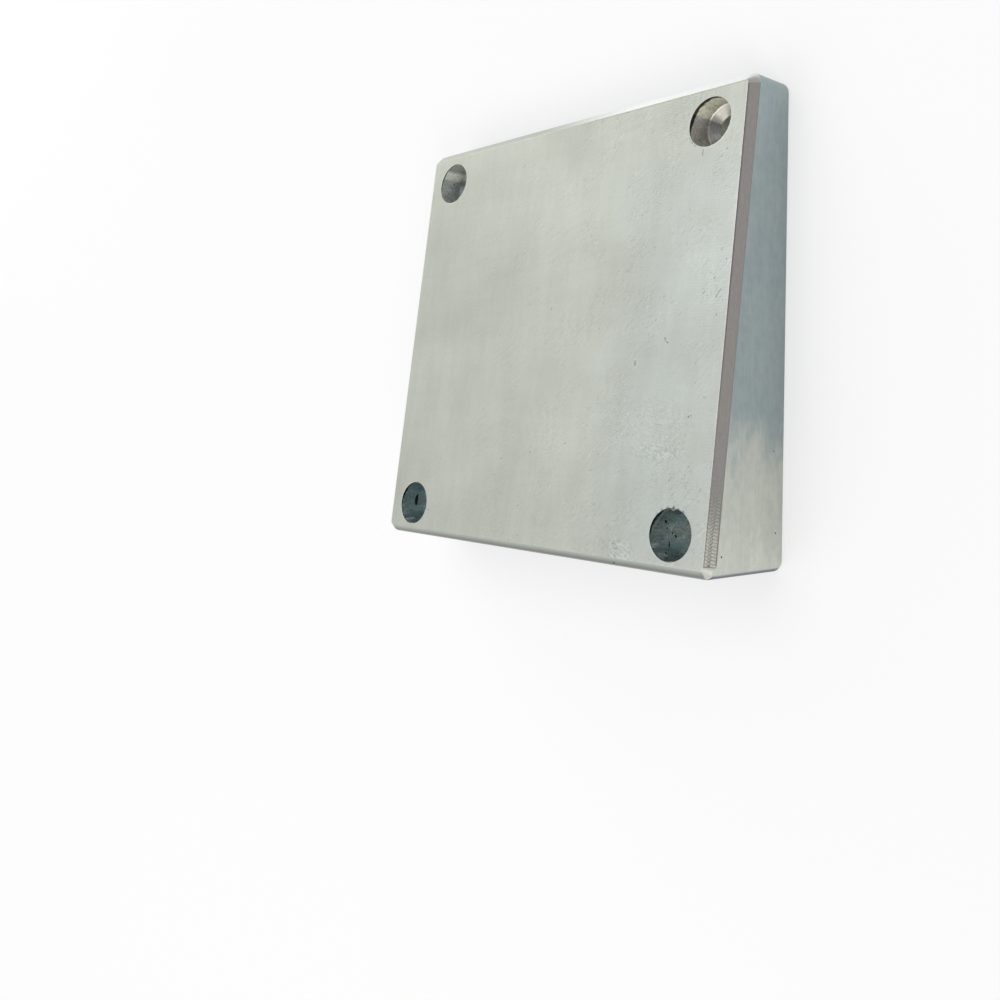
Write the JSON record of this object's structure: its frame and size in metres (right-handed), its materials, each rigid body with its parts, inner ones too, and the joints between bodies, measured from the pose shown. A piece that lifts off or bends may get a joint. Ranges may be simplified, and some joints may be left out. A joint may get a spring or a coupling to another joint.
{
  "type": "wedge mounting plate",
  "caption": "Rectangular milled wedge plate with a flat back, a sloped chamfered face and a counterbored screw hole near each corner.",
  "frame": {"origin": "middle of the flat back face", "axes": "+X across the plate's width, +Y from the thick end to the thin end, +Z from the back face to the sloped face, along the screw holes"},
  "size_m": [0.1, 0.096, 0.0226],
  "materials": {
    "milled_aluminium": "as milled, with fine cutter lines, unpainted"
  },
  "bodies": {
    "root": {"wedge_plate": "milled_aluminium"}
  },
  "joints": []
}
